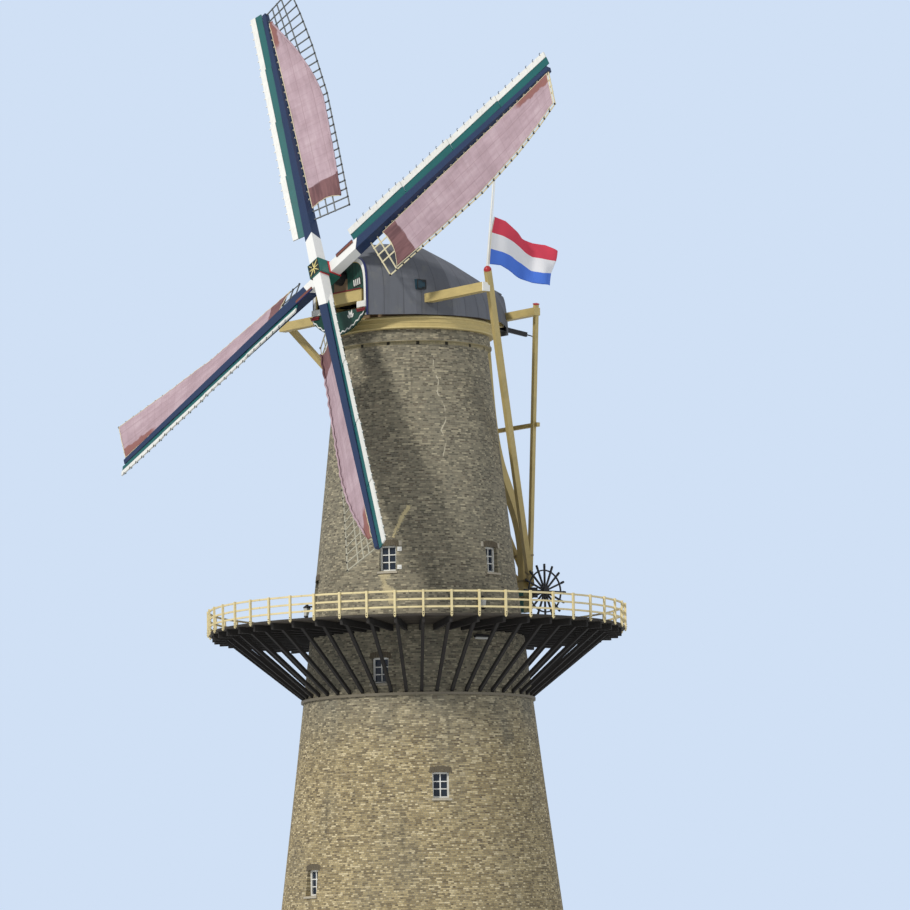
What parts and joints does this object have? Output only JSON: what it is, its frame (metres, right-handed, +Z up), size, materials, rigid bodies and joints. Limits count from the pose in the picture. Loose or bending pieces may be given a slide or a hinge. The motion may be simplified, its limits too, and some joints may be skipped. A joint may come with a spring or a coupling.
{
  "type": "tower windmill, 1:2 scale model",
  "caption": "Round brick tower mill with a railed stage, a boat-shaped cap that turns on its curb, tail braces with a winch, a flag, and four cloth-covered lattice sails on a tilted shaft.",
  "frame": {"origin": "middle of the tower foot, on the underside of the ground floor slab", "axes": "+Z up along the tower, -Y the way the sails face, +X to the left of the mill as it faces"},
  "size_m": [12.5046, 8.14, 21.3385],
  "materials": {
    "brick": "fired brick in lime mortar, weathered",
    "cream_paint": "painted timber",
    "felt": "bitumen felt on boards",
    "flag_cloth": "bunting in bands of red, white and blue",
    "green_paint": "painted timber",
    "iron": "painted iron",
    "navy_paint": "painted timber",
    "oak": "weathered oak",
    "ochre_paint": "painted timber",
    "pole_paint": "painted timber",
    "sail_cloth": "heavy canvas",
    "sprit_paint": "painted timber",
    "stone": "stone slabs",
    "tarred_timber": "tarred timber",
    "teal_paint": "painted timber",
    "white_paint": "painted timber",
    "window_glass": "window glass"
  },
  "bodies": {
    "tower": {"ground_floor": "stone", "lower_wall_a": "brick", "lower_wall_b": "brick", "upper_wall_a": "brick", "upper_wall_b": "brick", "brick_cornice": "brick", "curb_ring": "ochre_paint", "floors": "oak", "window_frames": "white_paint", "window_glass": "window_glass", "entrance_doors": "green_paint", "stage_doors": "green_paint", "stage_deck": "oak", "stage_joists": "tarred_timber", "stage_struts": "tarred_timber", "strut_ledge": "tarred_timber", "railing_posts": "cream_paint", "railing_rails": "cream_paint"},
    "cap": {"beard_board": "green_paint", "cap_cover": "felt", "cap_hatch": "teal_paint", "cap_ring": "oak", "flag": "flag_cloth", "flag_pole": "pole_paint", "front_gable": "green_paint", "gable_verge": "white_paint", "long_braces": "sprit_paint", "long_sprit": "sprit_paint", "neck_bearing": "oak", "sheers": "ochre_paint", "short_braces": "sprit_paint", "short_sprit": "sprit_paint", "tail_bearing_beam": "oak", "tail_pole": "sprit_paint", "tie_beam": "sprit_paint", "weather_beam": "ochre_paint", "winch_cheeks": "iron"},
    "sails": {"windshaft": "iron", "poll_end": "green_paint", "stock_outer": "navy_paint", "stock_inner": "navy_paint", "windboards": "teal_paint", "leading_edges": "white_paint", "sail_lattice_1": "cream_paint", "sail_lattice_2": "cream_paint", "sail_lattice_3": "cream_paint", "sail_lattice_4": "cream_paint", "sail_cloth_1": "sail_cloth", "sail_cloth_2": "sail_cloth", "sail_cloth_3": "sail_cloth", "sail_cloth_4": "sail_cloth"},
    "winch": {"capstan_wheel": "iron"}
  },
  "joints": [
    {"name": "cap_turn", "type": "hinge", "parent": "tower", "child": "cap", "pos_m": [0, 0, 14.275], "axis": [0, 0, 1], "continuous": true},
    {"name": "sails_turn", "type": "hinge", "parent": "cap", "child": "sails", "pos_m": [0, -2.155, 15.188], "axis": [0, -0.9783, 0.2071], "continuous": true},
    {"name": "winch_turn", "type": "hinge", "parent": "cap", "child": "winch", "pos_m": [0, 2.93, 9.2], "axis": [1, 0, 0], "continuous": true}
  ]
}
